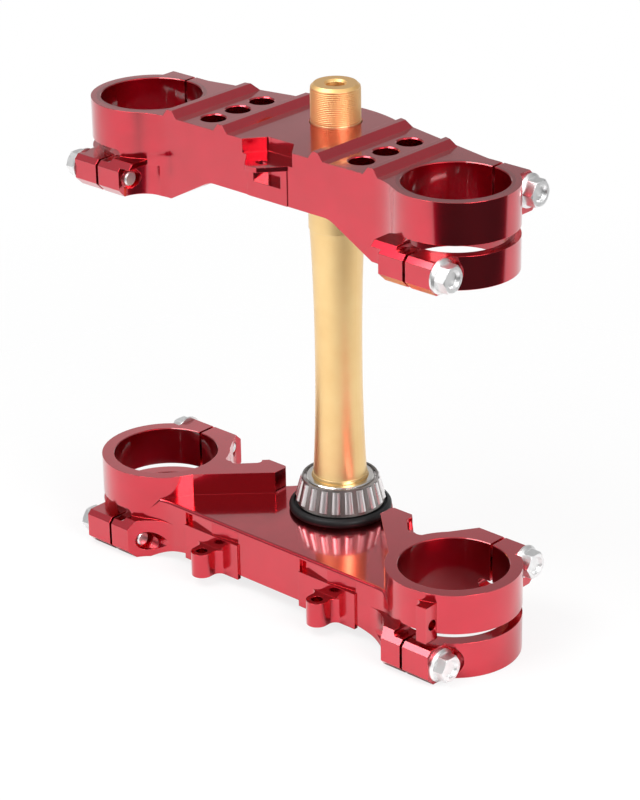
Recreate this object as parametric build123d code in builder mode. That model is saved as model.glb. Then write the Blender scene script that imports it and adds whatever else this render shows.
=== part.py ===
from build123d import *
import math
import os

os.makedirs("parts", exist_ok=True)

# Frame
# The steering axis is Z. Zero height is the bearing seat, the floor of the bottom clamp.
# X runs across the forks, plus X being the rider's left. Minus Y is the front of the machine.

# Steering geometry
FORK_X = 105.0
FORK_Y = -29.5
CLAMP_DISTANCE = 209.7

# Stem
STEM_ABOVE_CLAMP = 20.4
STEM_FOOT_Z = -27.0
STEM_BORE_R = 5.0
STEM_BORE_CHAMFER = 1.2
JOURNAL_R = 15.0
UPPER_JOURNAL = 28.9
LOWER_JOURNAL_Z = 22.0
WAIST_R = 12.75
WAIST_SHARE = 0.585
JOURNAL_STEP = 0.4
STEM_FLARE = 0.06
SHANK_R = 13.28
SHANK_PROUD = 0.4
THREAD_R = 13.0
THREAD_CHAMFER = 1.6
PRESS_GAP = 0.01
SHANK_GAP = 0.2

# Top clamp
TOP_HEIGHT = 44.8
TOP_MIDDLE_HEIGHT = 29.3
TOP_BORE_R = 27.0
TOP_RING_R = 32.4
TOP_FRONT_Y = -52.0
TOP_FRONT_BLEND = 33.0
TOP_UPPER_RING = 21.9
TOP_BACK_Y = 23.9
TOP_BACK_ARC_X = 22.6
TOP_BACK_ARC_Y = 20.4
TOP_BACK_KNEE_X = 61.4
TOP_BACK_KNEE_Y = 12.4
RIB_HEIGHT = 4.0
RIB_BASE = 9.6
RIB_CREST = 3.5
RIB_INNER_X = 32.8
RIB_OUTER_X = 69.3
RIB_END_SLOPE = 3.0
BAR_HOLE_R = 6.6
BAR_HOLE_X = 51.2
BAR_HOLE_PITCH = 18.3
BAR_HOLE_MID_Y = -19.6
BAR_HOLE_CHAMFER = 0.6
ARCH_HALF_WIDTH = 41.5
ARCH_SLOPE_X = 70.0
ARCH_ROUNDING = 12.0
SCALLOP_IN = 27.8
SCALLOP_Y = -66.3
SCALLOP_R = 13.6
SCALLOP_ROOF = 28.2

# Number plate tab on the top clamp
NOTCH_DEPTH = 7.6
NOTCH_FRONT_HALF = 17.3
NOTCH_BACK_HALF = 8.9
NOTCH_REACH = 10.9
NOTCH_CORNER = 2.0
TAB_THICK = 2.6
TAB_HALF = 14.4
TAB_TIP_HALF = 4.0
TAB_REACH = 12.4
TAB_TIP_ROUND = 2.0
TAB_HOLE_R = 3.0
TAB_HOLE_REACH = 4.2
POCKET_DEPTH = 10.5
POCKET_FRONT_HALF = 9.4
POCKET_BACK_HALF = 5.0
POCKET_REACH = 6.0
PAD_HALF = 13.7
PAD_PROUD = 0.5

# Bottom clamp
BOTTOM_FACE_Z = 12.5
BOTTOM_HEIGHT = 47.5
BOTTOM_BORE_R = 29.0
BOTTOM_RING_R = 35.9
BOTTOM_FRONT_Y = -57.8
BOTTOM_FRONT_BLEND = 28.0
BOTTOM_UPPER_RING = 22.0
WEB_BACK_R = 28.5
ARM_ROOT_X = 78.4
ARM_ROOT_Y = -48.9
ARM_TIP_X = 38.6
ARM_TIP_Y = -10.9
ARM_BACK_X = 52.3
ARM_BACK_Y = -0.9
ARM_TIP_CHAMFER = 1.3
ARM_FOOT_ROUND = 1.6
NOTCH_IN = 35.2
NOTCH_BACK = 10.5
NOTCH_ROUND = 4.0
STOP_RECESS_LENGTH = 17.0
STOP_RECESS_DEEP = 3.4
STOP_RECESS_DROP = 3.5
STOP_RECESS_CORNER = 3.0
BELLY_Z = -27.0
BELLY_FLAT_X = 55.0
BELLY_END_X = 86.0
FLANK_R = 22.0
FLANK_IN = 33.0

# Ring slots, slits and pinch lugs, the same on both clamps
SLOT_HEIGHT = 5.4
SLOT_IN = 4.0
SLIT_OUT = 1.6
SLIT_WIDTH = 1.8
BORE_CHAMFER = 0.4
BEVEL_ANGLE = 45.0
LUG_CHAMFER = 4.5
LUG_STEP = 1.0
LUG_RISE = 2.0
LUG_ROOT = 20.0

# Pinch lugs of the top clamp, from the fork axis
TOP_FRONT_LUG = 40.8
TOP_FRONT_LUG_IN = 21.0
TOP_BACK_LUG = 40.5
TOP_BACK_LUG_IN = 17.0
TOP_BACK_EDGE = 34.7

# Pinch lugs of the bottom clamp, from the fork axis
BOTTOM_FRONT_LUG = 43.8
BOTTOM_BACK_LUG = 44.1
BOTTOM_BACK_LUG_IN = 15.7
BOTTOM_BACK_EDGE = 40.0

# Pinch bolts, M8 with a flanged hex head, and what they need of the clamps
BOLT_R = 4.0
BOLT_HOLE_R = 4.25
BOLT_LENGTH = 34.0
BOLT_TIP_CHAMFER = 0.7
BOLT_RUN_OUT = 6.0
FLANGE_R = 8.95
FLANGE_EDGE = 1.1
FLANGE_RISE = 0.9
FLANGE_TAPER = 58.0
HEX_FLATS = 13.0
HEAD_HEIGHT = 8.0
HEX_CHAMFER_ANGLE = 30.0
DISH_R = 4.8
DISH_DEPTH = 1.6
DISH_TAPER = 35.0
SEAT_GAP = 1.6
TIP_RECESS_R = 5.5
TIP_RECESS_BACK = 2.6
TOP_SEAT_OUT = 18.3
TOP_FRONT_WALL = 1.55
TOP_BACK_WALL = 2.45
TOP_BOLT_LIFT = 0.6
BOTTOM_FRONT_SEAT_OUT = 19.5
BOTTOM_BACK_SEAT_OUT = 17.9
BOTTOM_FRONT_WALL = 0.9
BOTTOM_BACK_WALL = 2.95
BOTTOM_FRONT_LIFT = -0.45
BOTTOM_BACK_LIFT = 4.0

# Lightening pockets in the undersides
UNDER_POCKET_WIDTH = 17.0
UNDER_POCKET_CORNER = 5.0
TOP_UNDER_POCKET_X = 30.6
TOP_UNDER_POCKET_Y = -15.0
TOP_UNDER_POCKET_LENGTH = 40.0
TOP_UNDER_POCKET_DEPTH = 15.0
BOTTOM_UNDER_POCKET_X = 43.0
BOTTOM_UNDER_POCKET_Y = -31.0
BOTTOM_UNDER_POCKET_PITCH = 21.0
BOTTOM_UNDER_POCKET_LENGTH = 32.0
BOTTOM_UNDER_POCKET_ROOF = 11.0

# Fender bosses on the front wall of the bottom clamp
FENDER_X = 42.4
FENDER_REACH = 8.3
FENDER_BOSS_R = 5.85
FENDER_HOLE_R = 3.1
FENDER_TOP_Z = -15.6
FENDER_BOTTOM_Z = -29.5
FENDER_BLEND = 4.0
FENDER_PAD_HALF = 19.9
FENDER_PAD_PROUD = 1.2
FENDER_PAD_TOP_Z = -8.9
FENDER_SCOOP_TOP_Z = -1.8
FENDER_SCOOP_DEPTH = 2.4

# Hose guide lug on the bottom clamp, rider's left only
GUIDE_IN = 9.5
GUIDE_WIDTH = 6.5
GUIDE_FRONT = 41.0
GUIDE_TOP_Z = 7.9
GUIDE_FOOT_Z = -12.3
GUIDE_BLEND = 4.0
GUIDE_HOLE_R = 3.0
GUIDE_HOLE_BACK = 5.0
GUIDE_HOLE_Z = -3.2

# Tapered roller bearing, 30 bore, 55 outside with its cup, 17 wide, small end up
ROLLER_COUNT = 20
PITCH_R = 20.5
ROLLER_MID_Z = 12.2
ROLLER_LENGTH = 12.0
RACE_ANGLE = 11.6
ROLLER_TAPER = 1.86
RACE_GAP = 0.05
END_GAP = 0.15
ROLLER_DIMPLE_R = 1.2
ROLLER_DIMPLE = 0.3
CONE_BOTTOM_Z = 3.0
CONE_TOP_Z = 20.0
CONE_RIB_R = 22.4
CONE_SMALL_RIB_R = 18.6
CONE_CHAMFER = 0.6
CAGE_OFFSET = 1.0
CAGE_SHEET = 1.0
CAGE_FOOT = 1.7
CAGE_HEAD = 1.4
WINDOW_GAP = 0.15

# Dust seal under the bearing
SEAL_R = 28.0
SEAL_BULGE_Z = 1.4
SEAL_LIP_R = 25.4
SEAL_LIP_Z = 5.0
SEAL_LIP_THICK = 1.2
SEAL_LIP_ROUND = 0.4
SEAL_FOOT = 1.0
SEAL_BORE_GAP = 0.2

# Derived places
TOP_FACE_Z = BOTTOM_FACE_Z + CLAMP_DISTANCE
TOP_UNDER_Z = TOP_FACE_Z - TOP_HEIGHT
TOP_SLOT_Z = TOP_FACE_Z - TOP_UPPER_RING - SLOT_HEIGHT
JOURNAL_TOP_Z = TOP_FACE_Z - TOP_MIDDLE_HEIGHT
UPPER_JOURNAL_Z = JOURNAL_TOP_Z - UPPER_JOURNAL
WAIST_Z = LOWER_JOURNAL_Z + WAIST_SHARE * (UPPER_JOURNAL_Z - LOWER_JOURNAL_Z)
STEM_TOP_Z = TOP_FACE_Z + STEM_ABOVE_CLAMP
SHANK_TOP_Z = TOP_FACE_Z + SHANK_PROUD
BOTTOM_UNDER_Z = BOTTOM_FACE_Z - BOTTOM_HEIGHT
BOTTOM_SLOT_Z = BOTTOM_FACE_Z - BOTTOM_UPPER_RING - SLOT_HEIGHT
SLOT_R = SLOT_HEIGHT / 2
SLIT_X = FORK_X + SLIT_OUT
SEAT_R = FLANGE_R + SEAT_GAP
FENDER_Y = BOTTOM_FRONT_Y - FENDER_REACH
FORK = (FORK_X, FORK_Y)
BEYOND = 40.0

# Each pinch bolt: where its head seats, its Y and its height
TOP_FRONT_BOLT = (
    FORK_X + TOP_SEAT_OUT,
    FORK_Y - TOP_BORE_R - TOP_FRONT_WALL - BOLT_HOLE_R,
    (TOP_UNDER_Z + TOP_SLOT_Z) / 2 + TOP_BOLT_LIFT,
)
TOP_BACK_BOLT = (
    FORK_X + TOP_SEAT_OUT,
    FORK_Y + TOP_BORE_R + TOP_BACK_WALL + BOLT_HOLE_R,
    TOP_FACE_Z - TOP_UPPER_RING / 2 + TOP_BOLT_LIFT,
)
BOTTOM_FRONT_BOLT = (
    FORK_X + BOTTOM_FRONT_SEAT_OUT,
    FORK_Y - BOTTOM_BORE_R - BOTTOM_FRONT_WALL - BOLT_HOLE_R,
    (BOTTOM_UNDER_Z + BOTTOM_SLOT_Z) / 2 + BOTTOM_FRONT_LIFT,
)
BOTTOM_BACK_BOLT = (
    FORK_X + BOTTOM_BACK_SEAT_OUT,
    FORK_Y + BOTTOM_BORE_R + BOTTOM_BACK_WALL + BOLT_HOLE_R,
    BOTTOM_FACE_Z - BOTTOM_UPPER_RING / 2 + BOTTOM_BACK_LIFT,
)


def tangent_point(centre, radius, start, way):
    """Point where a line from start touches a circle, way 1 or -1 being counter-clockwise or not."""
    away = math.dist(centre, start)
    heading = math.atan2(start[1] - centre[1], start[0] - centre[0])
    turn = heading + way * math.acos(radius / away)
    return (centre[0] + radius * math.cos(turn), centre[1] + radius * math.sin(turn))


# Top clamp: right half, then mirrored about the centre plane
knee = (TOP_BACK_KNEE_X, TOP_BACK_KNEE_Y)
back_arc_end = (TOP_BACK_ARC_X, TOP_BACK_ARC_Y)
top_lug_root = (FORK_X - TOP_BACK_LUG_IN, FORK_Y + TOP_BACK_EDGE)
with BuildPart() as top_clamp:
    with BuildSketch(Plane.XY.offset(TOP_UNDER_Z)) as top_plan:
        with BuildLine():
            TangentArc((0, TOP_BACK_Y), back_arc_end, tangent=(1, 0))
            Polyline(
                back_arc_end,
                knee,
                tangent_point(FORK, TOP_RING_R, knee, -1),
                FORK,
                (FORK_X, TOP_FRONT_Y),
                (0, TOP_FRONT_Y),
                (0, TOP_BACK_Y),
            )
        make_face()
        with Locations(FORK):
            Circle(TOP_RING_R)
        front_root = top_plan.vertices().sort_by_distance((FORK_X - TOP_RING_R, TOP_FRONT_Y))[0]
        fillet(front_root, radius=TOP_FRONT_BLEND)
    extrude(amount=TOP_HEIGHT + RIB_HEIGHT)
    # Top face milled down between the ribs
    rib_angle = math.degrees(math.atan2(RIB_HEIGHT, (RIB_BASE - RIB_CREST) / 2))
    with BuildSketch(Plane.XZ):
        with Locations((0, TOP_FACE_Z)):
            Rectangle(FORK_X + BEYOND, RIB_HEIGHT * 2, align=(Align.MIN, Align.MIN))
        with Locations((RIB_INNER_X, TOP_FACE_Z), (RIB_OUTER_X, TOP_FACE_Z)):
            Trapezoid(
                RIB_BASE, RIB_HEIGHT, rib_angle, align=(Align.CENTER, Align.MIN), mode=Mode.SUBTRACT
            )
            with Locations((0, RIB_HEIGHT)):
                Rectangle(
                    RIB_CREST, RIB_HEIGHT, align=(Align.CENTER, Align.MIN), mode=Mode.SUBTRACT
                )
    extrude(amount=FORK_X + BEYOND, both=True, mode=Mode.SUBTRACT)
    # Ribs slope down to the back edge
    for edge_start, edge_end in ((back_arc_end, knee), (knee, top_lug_root)):
        edge_way = (Vector(*edge_end) - Vector(*edge_start)).normalized()
        slope_plane = Plane(
            origin=(*edge_start, TOP_FACE_Z), x_dir=(-edge_way.Y, edge_way.X, 0), z_dir=edge_way
        )
        with BuildSketch(slope_plane):
            with BuildLine():
                Polyline(
                    (0, 0),
                    (-RIB_END_SLOPE, RIB_HEIGHT),
                    (-RIB_END_SLOPE, RIB_HEIGHT * 2),
                    (RIB_BASE, RIB_HEIGHT * 2),
                    (RIB_BASE, 0),
                    close=True,
                )
            make_face()
        extrude(amount=BEYOND, both=True, mode=Mode.SUBTRACT)
    # Back lug of the upper ring
    with BuildSketch(Plane.XY.offset(TOP_SLOT_Z + SLOT_HEIGHT - LUG_STEP)):
        with BuildLine():
            Polyline(
                FORK,
                knee,
                top_lug_root,
                (TOP_BACK_BOLT[0], FORK_Y + TOP_BACK_EDGE),
                (TOP_BACK_BOLT[0], FORK_Y),
                close=True,
            )
        make_face()
    extrude(amount=TOP_UPPER_RING + LUG_STEP)
    with BuildSketch(Plane.YZ.offset(top_lug_root[0])):
        with BuildLine():
            lug_back_y = FORK_Y + TOP_BACK_LUG
            lug_foot_z = TOP_SLOT_Z + SLOT_HEIGHT - LUG_STEP
            Polyline(
                (FORK_Y + LUG_ROOT, TOP_FACE_Z),
                (FORK_Y + TOP_BACK_EDGE, TOP_FACE_Z),
                (lug_back_y, TOP_FACE_Z - TOP_BACK_LUG + TOP_BACK_EDGE),
                (lug_back_y, lug_foot_z + LUG_CHAMFER),
                (lug_back_y - LUG_CHAMFER, lug_foot_z),
                (FORK_Y + LUG_ROOT, lug_foot_z),
                close=True,
            )
        make_face()
    extrude(amount=TOP_BACK_BOLT[0] - top_lug_root[0])
    # Front lug of the lower ring
    with BuildSketch(Plane.YZ.offset(FORK_X - TOP_FRONT_LUG_IN)):
        with BuildLine():
            lug_front_y = FORK_Y - TOP_FRONT_LUG
            lug_head_z = TOP_SLOT_Z + LUG_RISE
            Polyline(
                (FORK_Y - LUG_ROOT, TOP_UNDER_Z),
                (lug_front_y + LUG_CHAMFER, TOP_UNDER_Z),
                (lug_front_y, TOP_UNDER_Z + LUG_CHAMFER),
                (lug_front_y, lug_head_z - LUG_CHAMFER),
                (lug_front_y + LUG_CHAMFER, lug_head_z),
                (FORK_Y - LUG_ROOT, lug_head_z),
                close=True,
            )
        make_face()
    extrude(amount=TOP_FRONT_BOLT[0] - FORK_X + TOP_FRONT_LUG_IN)
    # Arched underside between the rings
    with BuildSketch(Plane.XZ) as arch:
        with BuildLine():
            Polyline(
                (0, TOP_UNDER_Z - RIB_HEIGHT),
                (0, JOURNAL_TOP_Z),
                (ARCH_HALF_WIDTH, JOURNAL_TOP_Z),
                (ARCH_SLOPE_X, TOP_UNDER_Z),
                (ARCH_SLOPE_X, TOP_UNDER_Z - RIB_HEIGHT),
                close=True,
            )
        make_face()
        arch_corner = arch.vertices().sort_by_distance((ARCH_HALF_WIDTH, JOURNAL_TOP_Z))[0]
        fillet(arch_corner, radius=ARCH_ROUNDING)
    extrude(amount=FORK_X, both=True, mode=Mode.SUBTRACT)
    # Scallop that frees the end of the front bolt
    with BuildSketch(Plane.XY.offset(TOP_UNDER_Z)):
        with Locations((FORK_X - SCALLOP_IN, SCALLOP_Y)):
            Circle(SCALLOP_R)
    extrude(amount=TOP_HEIGHT - SCALLOP_ROOF, mode=Mode.SUBTRACT)
    # Fork bore
    with BuildSketch(Plane.XY.offset(TOP_UNDER_Z)):
        with Locations(FORK):
            Circle(TOP_BORE_R)
    extrude(amount=TOP_HEIGHT, mode=Mode.SUBTRACT)
    # Slot that parts the ring into an upper and a lower ring
    with BuildSketch(Plane.XZ):
        with Locations((FORK_X - SLOT_IN, TOP_SLOT_Z + SLOT_R)):
            Rectangle(BEYOND * 2, SLOT_HEIGHT, align=(Align.MIN, Align.CENTER))
            Circle(SLOT_R)
    extrude(amount=FORK_X, both=True, mode=Mode.SUBTRACT)
    # Slit of the upper ring at the back, of the lower ring at the front
    with BuildSketch(Plane.XY.offset(TOP_SLOT_Z)):
        with Locations((SLIT_X, FORK_Y)):
            Rectangle(SLIT_WIDTH, BEYOND * 2, align=(Align.CENTER, Align.MIN))
    extrude(amount=TOP_UPPER_RING + SLOT_HEIGHT, mode=Mode.SUBTRACT)
    with BuildSketch(Plane.XY.offset(TOP_UNDER_Z)):
        with Locations((SLIT_X, FORK_Y)):
            Rectangle(SLIT_WIDTH, BEYOND * 2, align=(Align.CENTER, Align.MAX))
    extrude(amount=TOP_HEIGHT - TOP_UPPER_RING - SLOT_R, mode=Mode.SUBTRACT)
    # Pinch bolt holes with their seats, clear up to the slit and tight beyond it
    for seat_x, bolt_y, bolt_z in (TOP_FRONT_BOLT, TOP_BACK_BOLT):
        with BuildSketch(Plane.YZ.offset(seat_x)):
            with Locations((bolt_y, bolt_z)):
                Circle(SEAT_R)
        extrude(amount=BEYOND, mode=Mode.SUBTRACT)
        with BuildSketch(Plane.YZ.offset(seat_x)):
            with Locations((bolt_y, bolt_z)):
                Circle(BOLT_HOLE_R)
        extrude(amount=-(seat_x - SLIT_X), mode=Mode.SUBTRACT)
        with BuildSketch(Plane.YZ.offset(seat_x)):
            with Locations((bolt_y, bolt_z)):
                Circle(BOLT_R + PRESS_GAP)
        extrude(amount=-(BOLT_LENGTH + BOLT_RUN_OUT), mode=Mode.SUBTRACT)
    # Recess round the end of the front bolt
    with BuildSketch(Plane.YZ.offset(TOP_FRONT_BOLT[0] - BOLT_LENGTH + TIP_RECESS_BACK)):
        with Locations(TOP_FRONT_BOLT[1:]):
            Circle(TIP_RECESS_R)
    extrude(amount=-SCALLOP_R, mode=Mode.SUBTRACT)
    # Three bar mount holes
    with BuildSketch(Plane.XY.offset(TOP_UNDER_Z)):
        with Locations((BAR_HOLE_X, BAR_HOLE_MID_Y)):
            with GridLocations(0, BAR_HOLE_PITCH, 1, 3):
                Circle(BAR_HOLE_R)
    extrude(amount=TOP_HEIGHT, mode=Mode.SUBTRACT)
    # Lightening pocket beside the stem, open below
    with BuildSketch(Plane.XY.offset(JOURNAL_TOP_Z)):
        with Locations((TOP_UNDER_POCKET_X, TOP_UNDER_POCKET_Y)):
            RectangleRounded(UNDER_POCKET_WIDTH, TOP_UNDER_POCKET_LENGTH, UNDER_POCKET_CORNER)
    extrude(amount=TOP_UNDER_POCKET_DEPTH, mode=Mode.SUBTRACT)
    # Number plate tab: notch in the top, thin tab, pocket under it
    notch_floor_z = TOP_FACE_Z - NOTCH_DEPTH
    with BuildSketch(Plane.XY.offset(notch_floor_z)) as notch:
        with BuildLine():
            Polyline(
                (0, TOP_FRONT_Y - TAB_THICK),
                (NOTCH_FRONT_HALF, TOP_FRONT_Y - TAB_THICK),
                (NOTCH_FRONT_HALF, TOP_FRONT_Y),
                (NOTCH_BACK_HALF, TOP_FRONT_Y + NOTCH_REACH),
                (0, TOP_FRONT_Y + NOTCH_REACH),
                close=True,
            )
        make_face()
        notch_corner = notch.vertices().sort_by_distance(
            (NOTCH_BACK_HALF, TOP_FRONT_Y + NOTCH_REACH)
        )[0]
        fillet(notch_corner, radius=NOTCH_CORNER)
    extrude(amount=NOTCH_DEPTH + RIB_HEIGHT, mode=Mode.SUBTRACT)
    with BuildSketch(Plane.XY.offset(JOURNAL_TOP_Z)):
        with Locations((0, TOP_FRONT_Y - PAD_PROUD)):
            Rectangle(PAD_HALF, POCKET_REACH, align=(Align.MIN, Align.MIN))
    extrude(amount=notch_floor_z - JOURNAL_TOP_Z)
    with BuildSketch(Plane.XY.offset(notch_floor_z - TAB_THICK)) as tab:
        with BuildLine():
            Polyline(
                (0, TOP_FRONT_Y + TAB_THICK),
                (TAB_HALF, TOP_FRONT_Y + TAB_THICK),
                (TAB_HALF, TOP_FRONT_Y),
                (TAB_TIP_HALF, TOP_FRONT_Y - TAB_REACH),
                (0, TOP_FRONT_Y - TAB_REACH),
                close=True,
            )
        make_face()
        tab_corner = tab.vertices().sort_by_distance(
            (TAB_TIP_HALF, TOP_FRONT_Y - TAB_REACH)
        )[0]
        fillet(tab_corner, radius=TAB_TIP_ROUND)
        with Locations((0, TOP_FRONT_Y - TAB_HOLE_REACH)):
            Circle(TAB_HOLE_R, mode=Mode.SUBTRACT)
    extrude(amount=TAB_THICK)
    with BuildSketch(Plane.XY.offset(notch_floor_z - TAB_THICK)):
        with BuildLine():
            Polyline(
                (0, TOP_FRONT_Y - TAB_THICK),
                (POCKET_FRONT_HALF, TOP_FRONT_Y - TAB_THICK),
                (POCKET_FRONT_HALF, TOP_FRONT_Y),
                (POCKET_BACK_HALF, TOP_FRONT_Y + POCKET_REACH),
                (0, TOP_FRONT_Y + POCKET_REACH),
                close=True,
            )
        make_face()
    extrude(amount=-POCKET_DEPTH, mode=Mode.SUBTRACT)
    # Hole for the stem
    with BuildSketch(Plane.XY.offset(TOP_UNDER_Z)):
        Circle(SHANK_R + SHANK_GAP)
    extrude(amount=TOP_HEIGHT, mode=Mode.SUBTRACT)
    # Bevelled mouths of the bore and the holes
    with BuildSketch(Plane.XY.offset(TOP_FACE_Z)):
        with Locations(FORK):
            Circle(TOP_BORE_R + BORE_CHAMFER)
    extrude(amount=-BORE_CHAMFER, taper=BEVEL_ANGLE, mode=Mode.SUBTRACT)
    with BuildSketch(Plane.XY.offset(TOP_FACE_Z)):
        Circle(SHANK_R + SHANK_GAP + BAR_HOLE_CHAMFER)
        with Locations((BAR_HOLE_X, BAR_HOLE_MID_Y)):
            with GridLocations(0, BAR_HOLE_PITCH, 1, 3):
                Circle(BAR_HOLE_R + BAR_HOLE_CHAMFER)
    extrude(amount=-BAR_HOLE_CHAMFER, taper=BEVEL_ANGLE, mode=Mode.SUBTRACT)
    mirror(about=Plane.YZ)
top_clamp.part.label = "top_clamp"
export_step(top_clamp.part, "parts/top_clamp.step")

# Bottom clamp: right half, then mirrored, then the hose guide lug on one side
arm_corner = (ARM_TIP_X + ARM_TIP_CHAMFER, ARM_BACK_Y)
web_touch = tangent_point((0, 0), WEB_BACK_R, arm_corner, 1)
notch_root = (FORK_X - NOTCH_IN, FORK_Y + NOTCH_BACK)
bottom_lug_root = (FORK_X - BOTTOM_BACK_LUG_IN, FORK_Y + BOTTOM_BACK_EDGE)
flank_way = (Vector(*bottom_lug_root) - Vector(*notch_root)).normalized()
flank_foot = Vector(*notch_root) + flank_way * flank_way.dot(Vector(*FORK) - Vector(*notch_root))
flank_foot = (flank_foot.X, flank_foot.Y)
with BuildPart() as bottom_clamp:
    # Web from the stem out to the rings
    with BuildSketch(Plane.XY.offset(BOTTOM_UNDER_Z)) as web_plan:
        with BuildLine():
            Polyline(
                (0, BOTTOM_FRONT_Y),
                (FORK_X, BOTTOM_FRONT_Y),
                FORK,
                flank_foot,
                notch_root,
                (ARM_BACK_X, ARM_BACK_Y),
                arm_corner,
                web_touch,
                (0, 0),
                close=True,
            )
        make_face()
        notch_vertex = web_plan.vertices().sort_by_distance(notch_root)[0]
        fillet(notch_vertex, radius=NOTCH_ROUND)
        Circle(WEB_BACK_R)
        Rectangle(BEYOND, BEYOND * 2, align=(Align.MAX, Align.CENTER), mode=Mode.SUBTRACT)
        with Locations(FORK):
            Circle(BOTTOM_RING_R)
        web_root = web_plan.vertices().sort_by_distance((FORK_X - BOTTOM_RING_R, BOTTOM_FRONT_Y))[0]
        fillet(web_root, radius=BOTTOM_FRONT_BLEND)
    extrude(amount=-BOTTOM_UNDER_Z)
    # Rings and the arms that run from them to the stem
    with BuildSketch(Plane.XY.offset(BOTTOM_UNDER_Z)) as arm_plan:
        with BuildLine():
            Polyline(
                (ARM_TIP_X, ARM_TIP_Y),
                (ARM_TIP_X, ARM_BACK_Y - ARM_TIP_CHAMFER),
                arm_corner,
                (ARM_BACK_X, ARM_BACK_Y),
                notch_root,
                flank_foot,
                FORK,
                (ARM_ROOT_X, ARM_ROOT_Y),
                close=True,
            )
        make_face()
        arm_notch_vertex = arm_plan.vertices().sort_by_distance(notch_root)[0]
        fillet(arm_notch_vertex, radius=NOTCH_ROUND)
        with Locations(FORK):
            Circle(BOTTOM_RING_R)
    extrude(amount=BOTTOM_HEIGHT)
    # Rounded foot along the inner walls of the arm
    foot_edges = bottom_clamp.edges().filter_by(GeomType.LINE).filter_by_position(Axis.Z, 0, 0)
    fillet(
        [
            foot_edges.sort_by_distance((ARM_ROOT_X, ARM_ROOT_Y, 0))[0],
            foot_edges.sort_by_distance((ARM_TIP_X, (ARM_TIP_Y + ARM_BACK_Y) / 2, 0))[0],
        ],
        radius=ARM_FOOT_ROUND,
    )
    # Recess for the fork stop in the back of the arm
    arm_back_way = (Vector(*notch_root) - Vector(ARM_BACK_X, ARM_BACK_Y)).normalized()
    stop_spot = (Vector(*notch_root) + Vector(ARM_BACK_X, ARM_BACK_Y)) / 2
    stop_plane = Plane(
        origin=(stop_spot.X, stop_spot.Y, BOTTOM_FACE_Z), x_dir=arm_back_way, z_dir=(0, 0, 1)
    )
    with BuildSketch(stop_plane):
        RectangleRounded(STOP_RECESS_LENGTH, STOP_RECESS_DEEP * 2, STOP_RECESS_CORNER)
    extrude(amount=-STOP_RECESS_DROP, mode=Mode.SUBTRACT)
    # Back lug of the upper ring
    with BuildSketch(Plane.XY.offset(BOTTOM_SLOT_Z + SLOT_HEIGHT - LUG_STEP)):
        with BuildLine():
            Polyline(
                FORK,
                flank_foot,
                bottom_lug_root,
                (BOTTOM_BACK_BOLT[0], FORK_Y + BOTTOM_BACK_EDGE),
                (BOTTOM_BACK_BOLT[0], FORK_Y),
                close=True,
            )
        make_face()
    extrude(amount=BOTTOM_UPPER_RING + LUG_STEP)
    with BuildSketch(Plane.YZ.offset(bottom_lug_root[0])):
        with BuildLine():
            lug_back_y = FORK_Y + BOTTOM_BACK_LUG
            lug_foot_z = BOTTOM_SLOT_Z + SLOT_HEIGHT - LUG_STEP
            Polyline(
                (FORK_Y + LUG_ROOT, BOTTOM_FACE_Z),
                (FORK_Y + BOTTOM_BACK_EDGE, BOTTOM_FACE_Z),
                (lug_back_y, BOTTOM_FACE_Z - BOTTOM_BACK_LUG + BOTTOM_BACK_EDGE),
                (lug_back_y, lug_foot_z + LUG_CHAMFER),
                (lug_back_y - LUG_CHAMFER, lug_foot_z),
                (FORK_Y + LUG_ROOT, lug_foot_z),
                close=True,
            )
        make_face()
    extrude(amount=BOTTOM_BACK_BOLT[0] - bottom_lug_root[0])
    # Front lug of the lower ring, with a hollow flank towards the middle
    flank_x = FORK_X - FLANK_IN
    with BuildSketch(Plane.YZ.offset(flank_x)):
        with BuildLine():
            lug_front_y = FORK_Y - BOTTOM_FRONT_LUG
            lug_head_z = BOTTOM_SLOT_Z + LUG_RISE
            Polyline(
                (BOTTOM_FRONT_Y + LUG_RISE, BOTTOM_UNDER_Z),
                (lug_front_y + LUG_CHAMFER, BOTTOM_UNDER_Z),
                (lug_front_y, BOTTOM_UNDER_Z + LUG_CHAMFER),
                (lug_front_y, lug_head_z - LUG_CHAMFER),
                (lug_front_y + LUG_CHAMFER, lug_head_z),
                (BOTTOM_FRONT_Y + LUG_RISE, lug_head_z),
                close=True,
            )
        make_face()
    extrude(amount=BOTTOM_FRONT_BOLT[0] - flank_x)
    with BuildSketch(Plane.XY.offset(BOTTOM_UNDER_Z)):
        with Locations((flank_x, BOTTOM_FRONT_Y - FLANK_R)):
            Circle(FLANK_R)
    extrude(amount=lug_head_z - BOTTOM_UNDER_Z, mode=Mode.SUBTRACT)
    # Arched belly
    with BuildSketch(Plane.XZ):
        with BuildLine():
            Line((0, BELLY_Z), (BELLY_FLAT_X, BELLY_Z))
            TangentArc((BELLY_FLAT_X, BELLY_Z), (BELLY_END_X, BOTTOM_UNDER_Z), tangent=(1, 0))
            Polyline(
                (BELLY_END_X, BOTTOM_UNDER_Z),
                (BELLY_END_X, BOTTOM_UNDER_Z - LUG_RISE),
                (0, BOTTOM_UNDER_Z - LUG_RISE),
                (0, BELLY_Z),
            )
        make_face()
    extrude(amount=FORK_X, both=True, mode=Mode.SUBTRACT)
    # Fork bore
    with BuildSketch(Plane.XY.offset(BOTTOM_UNDER_Z)):
        with Locations(FORK):
            Circle(BOTTOM_BORE_R)
    extrude(amount=BOTTOM_HEIGHT, mode=Mode.SUBTRACT)
    # Slot that parts the ring into an upper and a lower ring
    with BuildSketch(Plane.XZ):
        with Locations((FORK_X - SLOT_IN, BOTTOM_SLOT_Z + SLOT_R)):
            Rectangle(BEYOND * 2, SLOT_HEIGHT, align=(Align.MIN, Align.CENTER))
            Circle(SLOT_R)
    extrude(amount=FORK_X, both=True, mode=Mode.SUBTRACT)
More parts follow.
